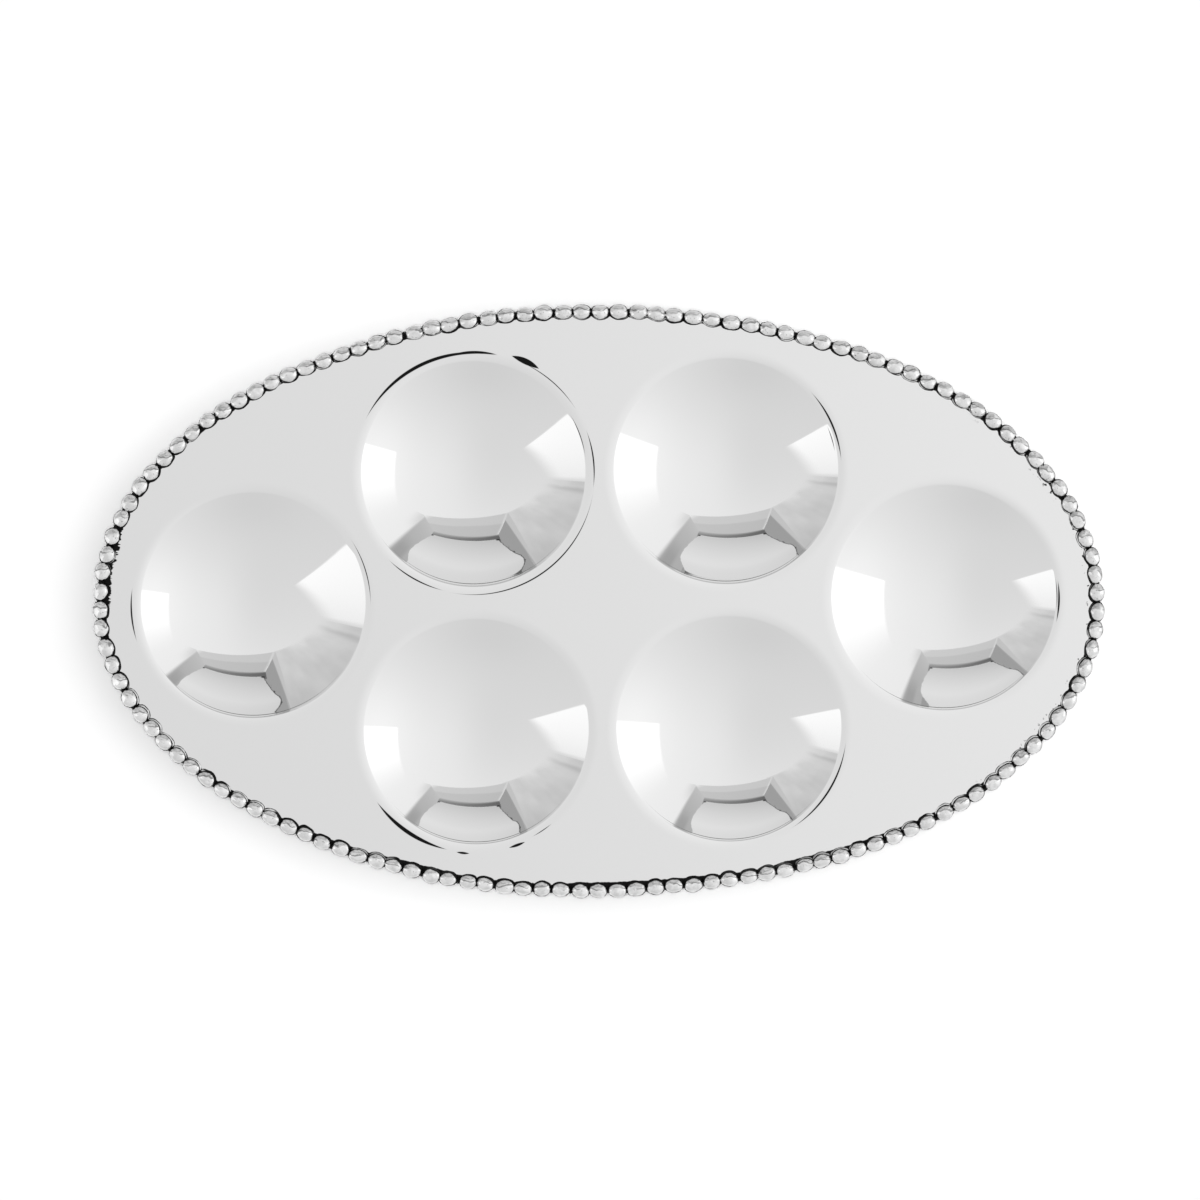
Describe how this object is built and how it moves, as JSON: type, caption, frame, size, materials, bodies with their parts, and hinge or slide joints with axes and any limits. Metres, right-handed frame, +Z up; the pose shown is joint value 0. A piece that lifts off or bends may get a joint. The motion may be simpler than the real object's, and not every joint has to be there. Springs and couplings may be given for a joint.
{
  "type": "seder plate",
  "caption": "Oval polished metal seder plate with round dished wells for the ritual foods and a beaded border hooked over its edge.",
  "frame": {"origin": "on the table under the middle of the oval, at the level of the flats below the wells", "axes": "+X along the oval's length, +Y across it towards the back, +Z up out of the wells"},
  "size_m": [0.4396, 0.2582, 0.0272],
  "materials": {
    "tray": "mirror polished",
    "border": "polished beads with blackened recesses"
  },
  "bodies": {
    "root": {"tray_body": "tray", "bead_border_1": "border", "bead_border_2": "border", "bead_border_3": "border", "bead_border_4": "border", "bead_border_5": "border", "bead_border_6": "border", "bead_border_7": "border", "bead_border_8": "border"}
  },
  "joints": []
}
